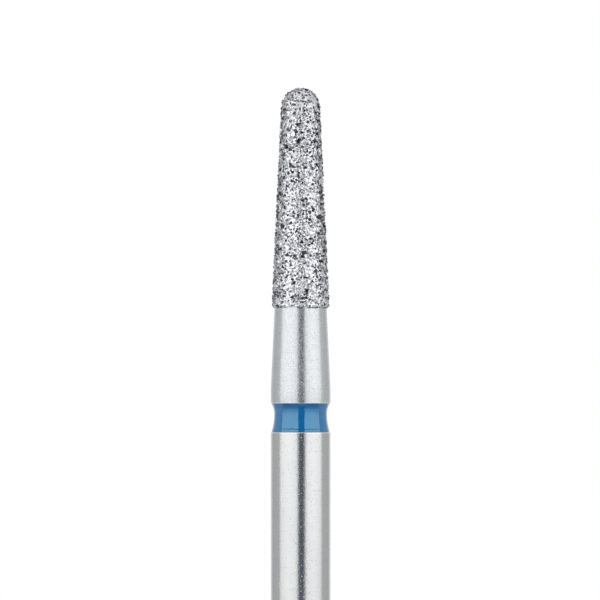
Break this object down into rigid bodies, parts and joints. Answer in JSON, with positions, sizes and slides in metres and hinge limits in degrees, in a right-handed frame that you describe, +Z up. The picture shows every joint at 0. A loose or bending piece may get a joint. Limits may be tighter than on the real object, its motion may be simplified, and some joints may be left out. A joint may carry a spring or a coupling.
{
  "type": "dental bur",
  "caption": "Round-end tapered diamond bur for a turbine handpiece, with a grit-coated head, a short neck, a blue grit ring in a groove and a plain friction-grip shank.",
  "frame": {"origin": "centre of the flat end of the shank", "axes": "+Z up the axis, from the shank's flat end to the tip of the head; the bur is round, so +X and +Y are any two directions square to it"},
  "size_m": [0.0016, 0.0016, 0.019],
  "materials": {
    "steel": "stainless steel, finely ground round the axis",
    "nickel": "matt electroplated nickel",
    "diamond": "clear to grey natural diamond grit of medium grade",
    "blue_enamel": "glossy blue enamel"
  },
  "bodies": {
    "root": {"steel_blank": "steel", "nickel_bond": "nickel", "diamond_grains": "diamond", "enamel_ring": "blue_enamel"}
  },
  "joints": []
}
